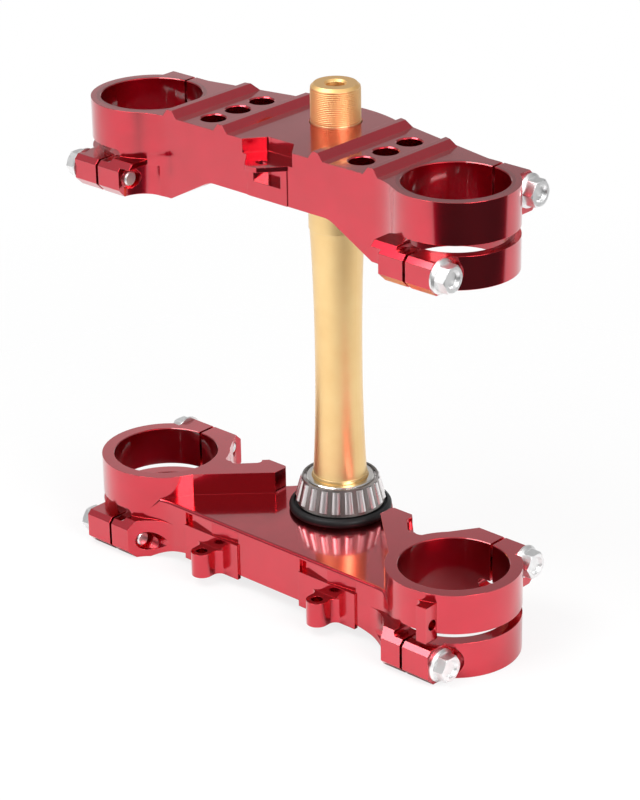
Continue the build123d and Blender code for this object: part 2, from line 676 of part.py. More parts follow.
    # Slit of the upper ring at the back, of the lower ring at the front
    with BuildSketch(Plane.XY.offset(BOTTOM_SLOT_Z)):
        with Locations((SLIT_X, FORK_Y)):
            Rectangle(SLIT_WIDTH, BEYOND * 2, align=(Align.CENTER, Align.MIN))
    extrude(amount=BOTTOM_UPPER_RING + SLOT_HEIGHT, mode=Mode.SUBTRACT)
    with BuildSketch(Plane.XY.offset(BOTTOM_UNDER_Z)):
        with Locations((SLIT_X, FORK_Y)):
            Rectangle(SLIT_WIDTH, BEYOND * 2, align=(Align.CENTER, Align.MAX))
    extrude(amount=BOTTOM_HEIGHT - BOTTOM_UPPER_RING - SLOT_R, mode=Mode.SUBTRACT)
    # Pinch bolt holes with their seats, clear up to the slit and tight beyond it
    for seat_x, bolt_y, bolt_z in (BOTTOM_FRONT_BOLT, BOTTOM_BACK_BOLT):
        with BuildSketch(Plane.YZ.offset(seat_x)):
            with Locations((bolt_y, bolt_z)):
                Circle(SEAT_R)
        extrude(amount=BEYOND, mode=Mode.SUBTRACT)
        with BuildSketch(Plane.YZ.offset(seat_x)):
            with Locations((bolt_y, bolt_z)):
                Circle(BOLT_HOLE_R)
        extrude(amount=-(seat_x - SLIT_X), mode=Mode.SUBTRACT)
        with BuildSketch(Plane.YZ.offset(seat_x)):
            with Locations((bolt_y, bolt_z)):
                Circle(BOLT_R + PRESS_GAP)
        extrude(amount=-(BOLT_LENGTH + BOLT_RUN_OUT), mode=Mode.SUBTRACT)
    # Recess round the end of the front bolt
    with BuildSketch(Plane.YZ.offset(BOTTOM_FRONT_BOLT[0] - BOLT_LENGTH + TIP_RECESS_BACK)):
        with Locations(BOTTOM_FRONT_BOLT[1:]):
            Circle(TIP_RECESS_R)
    extrude(amount=-FLANK_R, mode=Mode.SUBTRACT)
    # Lightening pockets in the belly
    pocket_roof_z = -BOTTOM_UNDER_POCKET_ROOF
    with BuildSketch(Plane.XY.offset(pocket_roof_z)):
        with Locations((BOTTOM_UNDER_POCKET_X, BOTTOM_UNDER_POCKET_Y)):
            with GridLocations(BOTTOM_UNDER_POCKET_PITCH, 0, 2, 1):
                RectangleRounded(
                    UNDER_POCKET_WIDTH, BOTTOM_UNDER_POCKET_LENGTH, UNDER_POCKET_CORNER
                )
    extrude(amount=BOTTOM_UNDER_Z - pocket_roof_z, mode=Mode.SUBTRACT)
    # Scoops in the front wall, deeper away from the fender boss
    with BuildSketch(Plane.XY.offset(FENDER_PAD_TOP_Z)):
        for way in (1, -1):
            scoop_end_x = FENDER_X + way * FENDER_PAD_HALF
            with BuildLine():
                Polyline(
                    (FENDER_X, BOTTOM_FRONT_Y),
                    (scoop_end_x, BOTTOM_FRONT_Y + FENDER_SCOOP_DEPTH),
                    (scoop_end_x, BOTTOM_FRONT_Y - FENDER_PAD_PROUD),
                    (FENDER_X, BOTTOM_FRONT_Y - FENDER_PAD_PROUD),
                    close=True,
                )
            make_face()
    extrude(amount=FENDER_SCOOP_TOP_Z - FENDER_PAD_TOP_Z, mode=Mode.SUBTRACT)
    # Fender boss on its pad
    with BuildSketch(Plane.XY.offset(BELLY_Z)):
        with Locations((FENDER_X, BOTTOM_FRONT_Y - FENDER_PAD_PROUD)):
            Rectangle(
                FENDER_PAD_HALF * 2, FENDER_PAD_PROUD * 2, align=(Align.CENTER, Align.MIN)
            )
    extrude(amount=FENDER_PAD_TOP_Z - BELLY_Z)
    with BuildSketch(Plane.XY.offset(FENDER_BOTTOM_Z)) as boss_plan:
        with Locations((FENDER_X, BOTTOM_FRONT_Y - FENDER_PAD_PROUD)):
            Rectangle(
                FENDER_PAD_HALF * 2, FENDER_PAD_PROUD * 2, align=(Align.CENTER, Align.MIN)
            )
        with Locations((FENDER_X, FENDER_Y)):
            Rectangle(FENDER_BOSS_R * 2, FENDER_REACH, align=(Align.CENTER, Align.MIN))
            Circle(FENDER_BOSS_R)
        pad_y = BOTTOM_FRONT_Y - FENDER_PAD_PROUD
        boss_roots = [
            boss_plan.vertices().sort_by_distance((FENDER_X + way * FENDER_BOSS_R, pad_y))[0]
            for way in (1, -1)
        ]
        fillet(boss_roots, radius=FENDER_BLEND)
    extrude(amount=FENDER_TOP_Z - FENDER_BOTTOM_Z)
    with BuildSketch(Plane.XY.offset(FENDER_BOTTOM_Z)):
        with Locations((FENDER_X, FENDER_Y)):
            Circle(FENDER_HOLE_R)
    extrude(amount=FENDER_TOP_Z - FENDER_BOTTOM_Z, mode=Mode.SUBTRACT)
    # Hole the stem is pressed into
    with BuildSketch(Plane.XY.offset(BOTTOM_UNDER_Z)):
        Circle(JOURNAL_R + PRESS_GAP)
    extrude(amount=BOTTOM_HEIGHT, mode=Mode.SUBTRACT)
    # Bevelled mouth of the bore
    with BuildSketch(Plane.XY.offset(BOTTOM_FACE_Z)):
        with Locations(FORK):
            Circle(BOTTOM_BORE_R + BORE_CHAMFER)
    extrude(amount=-BORE_CHAMFER, taper=BEVEL_ANGLE, mode=Mode.SUBTRACT)
    mirror(about=Plane.YZ)
    # Hose guide lug, blended into the ring on its inner side
    guide_left_x = FORK_X + GUIDE_IN
    guide_right_x = guide_left_x + GUIDE_WIDTH
    guide_front_y = FORK_Y - GUIDE_FRONT
    blend_x = guide_left_x - GUIDE_BLEND
    blend_reach = BOTTOM_RING_R + GUIDE_BLEND
    blend_y = FORK_Y - math.sqrt(blend_reach**2 - (blend_x - FORK_X) ** 2)
    ring_way = (Vector(*FORK) - Vector(blend_x, blend_y)).normalized()
    blend_start = Vector(blend_x, blend_y) + ring_way * GUIDE_BLEND
    blend_middle = Vector(blend_x, blend_y) + (ring_way + Vector(1, 0)).normalized() * GUIDE_BLEND
    with BuildSketch(Plane.XY.offset(GUIDE_FOOT_Z)) as guide_plan:
        with BuildLine():
            ThreePointArc(blend_start, blend_middle, (guide_left_x, blend_y))
            Polyline(
                (guide_left_x, blend_y),
                (guide_left_x, guide_front_y),
                (guide_right_x, guide_front_y),
                (guide_right_x, FORK_Y - BOTTOM_BORE_R),
                (blend_start.X, FORK_Y - BOTTOM_BORE_R),
                blend_start,
            )
        make_face()
        with Locations(FORK):
            Circle(BOTTOM_RING_R, mode=Mode.SUBTRACT)
    extrude(amount=GUIDE_TOP_Z - GUIDE_FOOT_Z)
    with BuildSketch(Plane.YZ.offset(guide_right_x)):
        with Locations((guide_front_y + GUIDE_HOLE_BACK, GUIDE_HOLE_Z)):
            Circle(GUIDE_HOLE_R)
    extrude(amount=-GUIDE_WIDTH, mode=Mode.SUBTRACT)
bottom_clamp.part.label = "bottom_clamp"
export_step(bottom_clamp.part, "parts/bottom_clamp.step")

# Steering stem, turned
with BuildPart() as steering_stem:
    with BuildSketch(Plane.XZ):
        with BuildLine():
            Polyline(
                (STEM_BORE_R, STEM_FOOT_Z),
                (JOURNAL_R, STEM_FOOT_Z),
                (JOURNAL_R, LOWER_JOURNAL_Z),
                (JOURNAL_R - JOURNAL_STEP, LOWER_JOURNAL_Z),
            )
            Spline(
                (JOURNAL_R - JOURNAL_STEP, LOWER_JOURNAL_Z),
                (WAIST_R, WAIST_Z),
                (JOURNAL_R - JOURNAL_STEP, UPPER_JOURNAL_Z),
                tangents=((-STEM_FLARE, 1), (STEM_FLARE, 1)),
            )
            Polyline(
                (JOURNAL_R - JOURNAL_STEP, UPPER_JOURNAL_Z),
                (JOURNAL_R, UPPER_JOURNAL_Z),
                (JOURNAL_R, JOURNAL_TOP_Z),
                (SHANK_R, JOURNAL_TOP_Z),
                (SHANK_R, SHANK_TOP_Z),
                (THREAD_R, SHANK_TOP_Z),
                (THREAD_R, STEM_TOP_Z - THREAD_CHAMFER),
                (THREAD_R - THREAD_CHAMFER, STEM_TOP_Z),
                (STEM_BORE_R + STEM_BORE_CHAMFER, STEM_TOP_Z),
                (STEM_BORE_R, STEM_TOP_Z - STEM_BORE_CHAMFER),
                (STEM_BORE_R, STEM_FOOT_Z),
            )
        make_face()
    revolve(axis=Axis.Z)
steering_stem.part.label = "steering_stem"
export_step(steering_stem.part, "parts/steering_stem.step")

# Dust seal of rubber, lying on the bottom clamp under the bearing
with BuildPart() as dust_seal:
    with BuildSketch(Plane.XZ):
        with BuildLine():
            lip_root = (SEAL_LIP_R + SEAL_LIP_THICK, SEAL_LIP_Z - SEAL_LIP_ROUND)
            Line((JOURNAL_R + SEAL_BORE_GAP, 0), (SEAL_R - SEAL_FOOT, 0))
            ThreePointArc((SEAL_R - SEAL_FOOT, 0), (SEAL_R, SEAL_BULGE_Z), lip_root)
            Polyline(
                lip_root,
                (SEAL_LIP_R + SEAL_LIP_ROUND, SEAL_LIP_Z),
                (SEAL_LIP_R, SEAL_LIP_Z - SEAL_LIP_ROUND),
                (SEAL_LIP_R, CONE_BOTTOM_Z),
                (JOURNAL_R + SEAL_BORE_GAP, CONE_BOTTOM_Z),
                (JOURNAL_R + SEAL_BORE_GAP, 0),
            )
        make_face()
    revolve(axis=Axis.Z)
dust_seal.part.label = "dust_seal"
export_step(dust_seal.part, "parts/dust_seal.step")

# Bearing geometry: raceway, rollers and cage share one apex on the steering axis
tilt = math.radians(RACE_ANGLE + ROLLER_TAPER)
apex_run = PITCH_R / math.sin(tilt)
half = ROLLER_LENGTH / 2
big_end_r = (apex_run + half) * math.tan(math.radians(ROLLER_TAPER))
small_end_r = (apex_run - half) * math.tan(math.radians(ROLLER_TAPER))


def bearing_point(along, out):
    """Point in the bearing's section, along the roller axis and out from it."""
    radius = PITCH_R - along * math.sin(tilt) + out * math.cos(tilt)
    height = ROLLER_MID_Z + along * math.cos(tilt) + out * math.sin(tilt)
    return (radius, height)


race_low = bearing_point(-half - END_GAP, -big_end_r - RACE_GAP)
race_high = bearing_point(half + END_GAP, -small_end_r - RACE_GAP)
rib_slope = math.tan(tilt)

# Inner ring of the bearing
with BuildPart() as bearing_inner_ring:
    with BuildSketch(Plane.XZ):
        with BuildLine():
            Polyline(
                (JOURNAL_R + PRESS_GAP, CONE_BOTTOM_Z),
                (CONE_RIB_R - CONE_CHAMFER, CONE_BOTTOM_Z),
                (CONE_RIB_R, CONE_BOTTOM_Z + CONE_CHAMFER),
                (CONE_RIB_R, race_low[1] + (CONE_RIB_R - race_low[0]) * rib_slope),
                race_low,
                race_high,
                (CONE_SMALL_RIB_R, race_high[1] + (CONE_SMALL_RIB_R - race_high[0]) * rib_slope),
                (CONE_SMALL_RIB_R, CONE_TOP_Z - CONE_CHAMFER),
                (CONE_SMALL_RIB_R - CONE_CHAMFER, CONE_TOP_Z),
                (JOURNAL_R + PRESS_GAP + CONE_CHAMFER, CONE_TOP_Z),
                (JOURNAL_R + PRESS_GAP, CONE_TOP_Z - CONE_CHAMFER),
                close=True,
            )
        make_face()
    revolve(axis=Axis.Z)
bearing_inner_ring.part.label = "bearing_inner_ring"
export_step(bearing_inner_ring.part, "parts/bearing_inner_ring.step")

# Plane through the first roller's axis, its Y running up along that axis
roller_plane = Plane(
    origin=(PITCH_R, 0, ROLLER_MID_Z),
    x_dir=(math.cos(tilt), 0, math.sin(tilt)),
    z_dir=(0, -1, 0),
)
roller_axis = Axis((PITCH_R, 0, ROLLER_MID_Z), (-math.sin(tilt), 0, math.cos(tilt)))

# Room that one roller needs in the cage
with BuildPart() as cage_window:
    with BuildSketch(roller_plane):
        with BuildLine():
            Polyline(
                (0, -half - WINDOW_GAP),
                (big_end_r + WINDOW_GAP, -half - WINDOW_GAP),
                (small_end_r + WINDOW_GAP, half + WINDOW_GAP),
                (0, half + WINDOW_GAP),
                close=True,
            )
        make_face()
    revolve(axis=roller_axis)

# Cage: a pressed cone with one window for each roller
with BuildPart() as bearing_cage:
    with BuildSketch(Plane.XZ):
        with BuildLine():
            Polyline(
                bearing_point(-half - CAGE_FOOT, CAGE_OFFSET),
                bearing_point(-half - CAGE_FOOT, CAGE_OFFSET + CAGE_SHEET),
                bearing_point(half + CAGE_HEAD, CAGE_OFFSET + CAGE_SHEET),
                bearing_point(half + CAGE_HEAD, CAGE_OFFSET),
                close=True,
            )
        make_face()
    revolve(axis=Axis.Z)
    with PolarLocations(0, ROLLER_COUNT):
        add(cage_window.part, mode=Mode.SUBTRACT)
bearing_cage.part.label = "bearing_cage"
export_step(bearing_cage.part, "parts/bearing_cage.step")

# Rollers, each with a dimple left by grinding in its big end
for number in range(ROLLER_COUNT):
    with BuildPart() as bearing_roller:
        with BuildSketch(roller_plane):
            with BuildLine():
                Polyline(
                    (0, -half + ROLLER_DIMPLE),
                    (ROLLER_DIMPLE_R, -half + ROLLER_DIMPLE),
                    (ROLLER_DIMPLE_R, -half),
                    (big_end_r, -half),
                    (small_end_r, half),
                    (0, half),
                    close=True,
                )
            make_face()
        revolve(axis=roller_axis)
    turned = bearing_roller.part.rotate(Axis.Z, number * 360 / ROLLER_COUNT)
    turned.label = f"bearing_roller_{number + 1:02d}"
    export_step(turned, f"parts/{turned.label}.step")

# Pinch bolts
BOLTS = {
    "pinch_bolt_top_front": TOP_FRONT_BOLT,
    "pinch_bolt_top_back": TOP_BACK_BOLT,
    "pinch_bolt_bottom_front": BOTTOM_FRONT_BOLT,
    "pinch_bolt_bottom_back": BOTTOM_BACK_BOLT,
}
for bolt_name, (seat_x, bolt_y, bolt_z) in BOLTS.items():
    for side_name, side in (("left", 1), ("right", -1)):
        seat = Plane(origin=(side * seat_x, bolt_y, bolt_z), x_dir=(0, 1, 0), z_dir=(side, 0, 0))
        bolt_section = Plane(origin=seat.origin, x_dir=(0, 1, 0), z_dir=(0, 0, -side))
        with BuildPart() as pinch_bolt:
            with BuildSketch(seat):
                Circle(BOLT_R)
            extrude(amount=-BOLT_LENGTH)
            tip = pinch_bolt.edges().sort_by(Axis.X)[0 if side > 0 else -1]
            chamfer(tip, length=BOLT_TIP_CHAMFER)
            # Flange with its sloping top
            with BuildSketch(seat):
                Circle(FLANGE_R)
            extrude(amount=FLANGE_EDGE)
            with BuildSketch(seat.offset(FLANGE_EDGE)):
                Circle(FLANGE_R)
            extrude(amount=FLANGE_RISE, taper=FLANGE_TAPER)
            # Hex with its corners turned off
            with BuildSketch(seat.offset(FLANGE_EDGE)):
                RegularPolygon(HEX_FLATS / 2, 6, major_radius=False)
            extrude(amount=HEAD_HEIGHT - FLANGE_EDGE)
            corner_drop = (FLANGE_R - HEX_FLATS / 2) * math.tan(math.radians(HEX_CHAMFER_ANGLE))
            with BuildSketch(bolt_section):
                with BuildLine():
                    Polyline(
                        (HEX_FLATS / 2, HEAD_HEIGHT),
                        (FLANGE_R, HEAD_HEIGHT),
                        (FLANGE_R, HEAD_HEIGHT - corner_drop),
                        close=True,
                    )
                make_face()
            revolve(axis=Axis(seat.origin, seat.z_dir), mode=Mode.SUBTRACT)
            # Dish in the head
            with BuildSketch(seat.offset(HEAD_HEIGHT)):
                Circle(DISH_R)
            extrude(amount=-DISH_DEPTH, taper=DISH_TAPER, mode=Mode.SUBTRACT)
        pinch_bolt.part.label = f"{bolt_name}_{side_name}"
        export_step(pinch_bolt.part, f"parts/{pinch_bolt.part.label}.step")
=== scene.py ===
"""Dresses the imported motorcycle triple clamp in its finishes, threads, light and camera."""

from __future__ import annotations

import logging
import math
from dataclasses import dataclass
from enum import Enum

import bpy
from mathutils import Matrix, Vector


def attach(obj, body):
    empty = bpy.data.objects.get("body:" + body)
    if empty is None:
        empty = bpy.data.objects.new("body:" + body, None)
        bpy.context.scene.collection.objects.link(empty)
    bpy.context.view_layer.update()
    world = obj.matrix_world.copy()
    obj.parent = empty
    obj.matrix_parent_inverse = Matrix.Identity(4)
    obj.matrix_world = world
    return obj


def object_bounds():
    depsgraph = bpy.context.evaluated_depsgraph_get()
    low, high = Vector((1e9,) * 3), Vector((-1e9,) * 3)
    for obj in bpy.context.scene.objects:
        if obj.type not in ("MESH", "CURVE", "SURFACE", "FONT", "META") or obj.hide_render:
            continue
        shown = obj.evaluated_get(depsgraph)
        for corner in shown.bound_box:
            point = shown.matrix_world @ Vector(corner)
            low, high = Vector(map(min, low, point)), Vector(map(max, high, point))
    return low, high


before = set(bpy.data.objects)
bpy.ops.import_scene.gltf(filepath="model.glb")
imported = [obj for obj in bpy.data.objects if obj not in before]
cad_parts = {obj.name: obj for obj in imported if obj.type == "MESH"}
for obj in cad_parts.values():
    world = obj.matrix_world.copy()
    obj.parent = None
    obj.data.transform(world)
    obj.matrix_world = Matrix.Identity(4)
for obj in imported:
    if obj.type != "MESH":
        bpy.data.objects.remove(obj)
CAD_LOW, CAD_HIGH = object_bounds()

LOG = logging.getLogger("triple_clamp")
MM = 0.001
FORK_X = 105.0 * MM
FORK_Y = -29.5 * MM
FIXED_BODY = "clamp_set"


class Grain(Enum):
    """How a surface was finished, which sets the direction of its fine marks."""

    MILLED = "milled"
    TURNED = "turned"
    GROUND = "ground"
    PRESSED = "pressed"
    PLATED = "plated"


LINE_STRETCH = {
    Grain.MILLED: (0.06, 1.0, 1.0),
    Grain.TURNED: (0.02, 0.02, 1.0),
    Grain.GROUND: (0.1, 0.1, 1.0),
}


class Board:
    """Shader nodes of one material, with short calls to add and wire them."""

    def __init__(self, name: str, world: bpy.types.World | None = None) -> None:
        """Start an empty node tree.

        Args:
            name: Name of the new material.
            world: World that takes the nodes in place of a new material.
        """
        self.material: bpy.types.Material | bpy.types.World = world or bpy.data.materials.new(name)
        self.material.use_nodes = True
        self.tree: bpy.types.NodeTree = self.material.node_tree
        self.tree.nodes.clear()

    def add(self, kind: str, **values: object) -> bpy.types.Node:
        """Add one node and set its properties.

        Args:
            kind: Blender's type name of the node.
            **values: Properties of the node, by name.

        Returns:
            The new node.
        """
        node = self.tree.nodes.new(kind)
        for key, value in values.items():
            setattr(node, key, value)
        return node

    def join(self, source: bpy.types.NodeSocket, target: bpy.types.NodeSocket) -> None:
        """Wire one socket to another."""
        self.tree.links.new(source, target)

    def noise(self, vector: bpy.types.NodeSocket, scale: float, detail: float) -> bpy.types.NodeSocket:
        """Add a noise texture.

        Args:
            vector: Socket with the texture coordinates.
            scale: Features in a metre.
            detail: Octaves of the noise.

        Returns:
            The noise value's socket.
        """
        node = self.add("ShaderNodeTexNoise")
        node.inputs["Scale"].default_value = scale
        node.inputs["Detail"].default_value = detail
        self.join(vector, node.inputs["Vector"])
        return node.outputs["Fac"]

    def spread(
        self, value: bpy.types.NodeSocket, low: float, high: float, to_low: float, to_high: float
    ) -> bpy.types.NodeSocket:
        """Map a value from one range to another, kept inside it.

        Args:
            value: Socket to map.
            low: Value that becomes to_low.
            high: Value that becomes to_high.
            to_low: Result at low.
            to_high: Result at high.

        Returns:
            The result's socket.
        """
        node = self.add("ShaderNodeMapRange", clamp=True)
        for index, number in enumerate((low, high, to_low, to_high), start=1):
            node.inputs[index].default_value = number
        self.join(value, node.inputs[0])
        return node.outputs[0]

    def mix_colour(
        self,
        share: bpy.types.NodeSocket,
        first: bpy.types.NodeSocket | tuple[float, float, float],
        second: bpy.types.NodeSocket | tuple[float, float, float],
    ) -> bpy.types.NodeSocket:
        """Mix two colours.

        Args:
            share: Socket with the share of the second colour.
            first: Colour or socket at share 0.
            second: Colour or socket at share 1.

        Returns:
            The mixed colour's socket.
        """
        node = self.add("ShaderNodeMix", data_type="RGBA")
        self.join(share, node.inputs[0])
        for socket, colour in ((node.inputs[6], first), (node.inputs[7], second)):
            if isinstance(colour, tuple):
                socket.default_value = (*colour, 1.0)
            else:
                self.join(colour, socket)
        return node.outputs[2]

    def finish(self, shader: bpy.types.NodeSocket) -> bpy.types.Material:
        """Wire the shader to the output and give the material back."""
        output = self.add("ShaderNodeOutputMaterial")
        self.join(shader, output.inputs["Surface"])
        return self.material


@dataclass(frozen=True)
class DarkRoughZone:
    """Upright round places of a part that get a darker colour and more roughness than the rest. In the
    fork bores the darker colour is painted shade.
    """

    axes: tuple[tuple[float, float], ...]
    radius: float
    bottom: float
    colour: tuple[float, float, float]
    roughness: float
    border: float = 0.1 * MM

    def mask(self, board: Board) -> bpy.types.NodeSocket:
        """Find the surface inside the zone.

        Args:
            board: Material that takes the nodes.

        Returns:
            The mask's socket, 1 inside the zone.
        """
        place = board.add("ShaderNodeNewGeometry").outputs["Position"]
        split = board.add("ShaderNodeSeparateXYZ")
        board.join(place, split.inputs[0])
        inside = board.spread(split.outputs["Z"], self.bottom, self.bottom + self.border, 0.0, 1.0)
        near = None
        for axis in self.axes:
            offset = board.add("ShaderNodeVectorMath", operation="SUBTRACT")
            board.join(place, offset.inputs[0])
            offset.inputs[1].default_value = (axis[0], axis[1], 0.0)
            level = board.add("ShaderNodeVectorMath", operation="MULTIPLY")
            board.join(offset.outputs[0], level.inputs[0])
            level.inputs[1].default_value = (1.0, 1.0, 0.0)
            length = board.add("ShaderNodeVectorMath", operation="LENGTH")
            board.join(level.outputs[0], length.inputs[0])
            edge = self.radius + self.border
            here = board.spread(length.outputs["Value"], self.radius, edge, 1.0, 0.0)
            if near is not None:
                both = board.add("ShaderNodeMath", operation="MAXIMUM")
                board.join(near, both.inputs[0])
                board.join(here, both.inputs[1])
                here = both.outputs[0]
            near = here
        product = board.add("ShaderNodeMath", operation="MULTIPLY")
        board.join(near, product.inputs[0])
        board.join(inside, product.inputs[1])
        return product.outputs[0]


@dataclass(frozen=True)
class MetalFinish:
    """A machined, plated or ground metal surface with its marks, rounded edges and a painted highlight
    along them.
    """

    name: str
    colour: tuple[float, float, float]
    shade: tuple[float, float, float]
    # Colour of the painted highlight laid along the edges.
    edge_highlight_colour: tuple[float, float, float]
    roughness: tuple[float, float]
    grain: Grain
    mark_spacing: float
    mark_strength: float
    edge_radius: float
    coat: float = 0.0
    coat_roughness: float = 0.1
    coat_ior: float = 1.5
    cloud_scale: float = 60.0
    mark_depth: float = 0.02 * MM
    edge_highlight_share: float = 0.6
    zone: DarkRoughZone | None = None

    def marks(self, board: Board, coords: bpy.types.NodeSocket) -> bpy.types.NodeSocket:
        """Make the height of the fine tool marks.

        Args:
            board: Material that takes the nodes.
            coords: Socket with the object's coordinates in metres.

        Returns:
            The height's socket, from 0 to 1.
        """
        if self.grain not in LINE_STRETCH:
            return board.noise(coords, 1.0 / self.mark_spacing, 3.0)
        stretch = board.add("ShaderNodeMapping")
        stretch.inputs["Scale"].default_value = LINE_STRETCH[self.grain]
        board.join(coords, stretch.inputs["Vector"])
        return board.noise(stretch.outputs["Vector"], 1.0 / self.mark_spacing, 2.0)

    def build(self) -> bpy.types.Material:
        """Make the material.

        Returns:
            The new material.
        """
        board = Board(self.name)
        coords = board.add("ShaderNodeTexCoord").outputs["Object"]
        cloud = board.noise(coords, self.cloud_scale, 4.0)
        height = self.marks(board, coords)
        edge = board.add("ShaderNodeBevel", samples=6)
        edge.inputs["Radius"].default_value = self.edge_radius
        face = board.add("ShaderNodeNewGeometry")
        facing = board.add("ShaderNodeVectorMath", operation="DOT_PRODUCT")
        board.join(edge.outputs["Normal"], facing.inputs[0])
        board.join(face.outputs["Normal"], facing.inputs[1])
        # Painted highlight: where the bevel tilts the normal, the colour turns towards the lighter edge
        # colour.
        painted_edge_highlight = board.spread(facing.outputs["Value"], 0.995, 0.9, 0.0, self.edge_highlight_share)
        base = board.mix_colour(board.spread(cloud, 0.35, 0.65, 0.0, 1.0), self.colour, self.shade)
        rough = board.spread(cloud, 0.3, 0.7, *self.roughness)
        if self.zone is not None:
            mask = self.zone.mask(board)
            base = board.mix_colour(mask, base, self.zone.colour)
            level = board.add("ShaderNodeMix")
            board.join(mask, level.inputs[0])
            board.join(rough, level.inputs[2])
            level.inputs[3].default_value = self.zone.roughness
            rough = level.outputs[0]
        colour = board.mix_colour(painted_edge_highlight, base, self.edge_highlight_colour)
        bump = board.add("ShaderNodeBump")
        bump.inputs["Strength"].default_value = self.mark_strength
        bump.inputs["Distance"].default_value = self.mark_depth
        board.join(height, bump.inputs["Height"])
        board.join(edge.outputs["Normal"], bump.inputs["Normal"])
        shader = board.add("ShaderNodeBsdfPrincipled")
        shader.inputs["Metallic"].default_value = 1.0
        shader.inputs["Coat Weight"].default_value = self.coat
        shader.inputs["Coat Roughness"].default_value = self.coat_roughness
        shader.inputs["Coat IOR"].default_value = self.coat_ior
        board.join(colour, shader.inputs["Base Color"])
        board.join(rough, shader.inputs["Roughness"])
        board.join(bump.outputs["Normal"], shader.inputs["Normal"])
        return board.finish(shader.outputs["BSDF"])


@dataclass(frozen=True)
class RubberFinish:
    """Moulded black rubber with a fine matt skin."""

    name: str
    colour: tuple[float, float, float]
    dusty: tuple[float, float, float]
    roughness: tuple[float, float]
    shine: float = 0.25
    cloud_scale: float = 300.0
    skin_scale: float = 4000.0
    skin_strength: float = 0.3
    skin_depth: float = 0.03 * MM

    def build(self) -> bpy.types.Material:
        """Make the material.

        Returns:
            The new material.
        """
        board = Board(self.name)
        coords = board.add("ShaderNodeTexCoord").outputs["Object"]
        cloud = board.noise(coords, self.cloud_scale, 5.0)
        skin = board.noise(coords, self.skin_scale, 2.0)
        bump = board.add("ShaderNodeBump")
        bump.inputs["Strength"].default_value = self.skin_strength
        bump.inputs["Distance"].default_value = self.skin_depth
        board.join(skin, bump.inputs["Height"])
        shader = board.add("ShaderNodeBsdfPrincipled")
        shader.inputs["Specular IOR Level"].default_value = self.shine
        board.join(board.mix_colour(cloud, self.colour, self.dusty), shader.inputs["Base Color"])
        board.join(board.spread(cloud, 0.3, 0.7, *self.roughness), shader.inputs["Roughness"])
        board.join(bump.outputs["Normal"], shader.inputs["Normal"])
        return board.finish(shader.outputs["BSDF"])


# In each finish below, the edge colour is a painted highlight along the edges.
RED_ANODISED = MetalFinish(
    name="red_anodised_aluminium",
    colour=(0.62, 0.003, 0.026),
    shade=(0.57, 0.002, 0.021),
    edge_highlight_colour=(0.80, 0.08, 0.09),
    roughness=(0.17, 0.23),
    grain=Grain.MILLED,
    mark_spacing=0.35 * MM,
    mark_strength=0.15,
    edge_radius=0.45 * MM,
    coat=1.0,
    coat_roughness=0.07,
    coat_ior=1.7,
    # Painted shade: inside the fork bores the red is darker, and it is rougher there too.
    zone=DarkRoughZone(
        axes=((-FORK_X, FORK_Y), (FORK_X, FORK_Y)),
        radius=29.3 * MM,
        bottom=-1.0,
        colour=(0.40, 0.002, 0.014),
        roughness=0.34,
    ),
)
GOLD_ANODISED = MetalFinish(
    name="gold_anodised_aluminium",
    colour=(0.98, 0.70, 0.32),
    shade=(0.96, 0.66, 0.29),
    edge_highlight_colour=(0.98, 0.84, 0.58),
    roughness=(0.38, 0.42),
    grain=Grain.TURNED,
    mark_spacing=0.25 * MM,
    mark_strength=0.3,
    edge_radius=0.3 * MM,
    coat=0.5,
    coat_roughness=0.25,
    # On the threaded end the gold is darker and rougher.
    zone=DarkRoughZone(
        axes=((0.0, 0.0),),
        radius=20.0 * MM,
        bottom=223.0 * MM,
        colour=(0.97, 0.61, 0.24),
        roughness=0.5,
    ),
)
BEARING_STEEL = MetalFinish(
    name="ground_bearing_steel",
    colour=(0.74, 0.71, 0.68),
    shade=(0.68, 0.65, 0.62),
    edge_highlight_colour=(0.85, 0.84, 0.82),
    roughness=(0.14, 0.22),
    grain=Grain.GROUND,
    mark_spacing=0.2 * MM,
    mark_strength=0.2,
    edge_radius=0.15 * MM,
)
ROLLER_STEEL = MetalFinish(
    name="polished_roller_steel",
    colour=(0.95, 0.92, 0.92),
    shade=(0.90, 0.87, 0.87),
    edge_highlight_colour=(0.96, 0.94, 0.94),
    roughness=(0.26, 0.32),
    grain=Grain.GROUND,
    mark_spacing=0.15 * MM,
    mark_strength=0.1,
    edge_radius=0.1 * MM,
)
CAGE_STEEL = MetalFinish(
    name="pressed_cage_steel",
    colour=(0.34, 0.31, 0.30),
    shade=(0.27, 0.25, 0.24),
    edge_highlight_colour=(0.7, 0.67, 0.62),
    roughness=(0.28, 0.4),
    grain=Grain.PRESSED,
    mark_spacing=0.5 * MM,
    mark_strength=0.5,
    edge_radius=0.12 * MM,
)
BOLT_STEEL = MetalFinish(
    name="zinc_plated_steel",
    colour=(0.93, 0.93, 0.93),
    shade=(0.88, 0.88, 0.88),
    edge_highlight_colour=(0.95, 0.95, 0.95),
    roughness=(0.34, 0.44),
    grain=Grain.PLATED,
    mark_spacing=0.3 * MM,
    mark_strength=0.5,
    edge_radius=0.25 * MM,
    cloud_scale=400.0,
)
BLACK_RUBBER = RubberFinish(
    name="black_seal_rubber",
    colour=(0.008, 0.008, 0.009),
    dusty=(0.018, 0.018, 0.019),
    roughness=(0.38, 0.55),
)


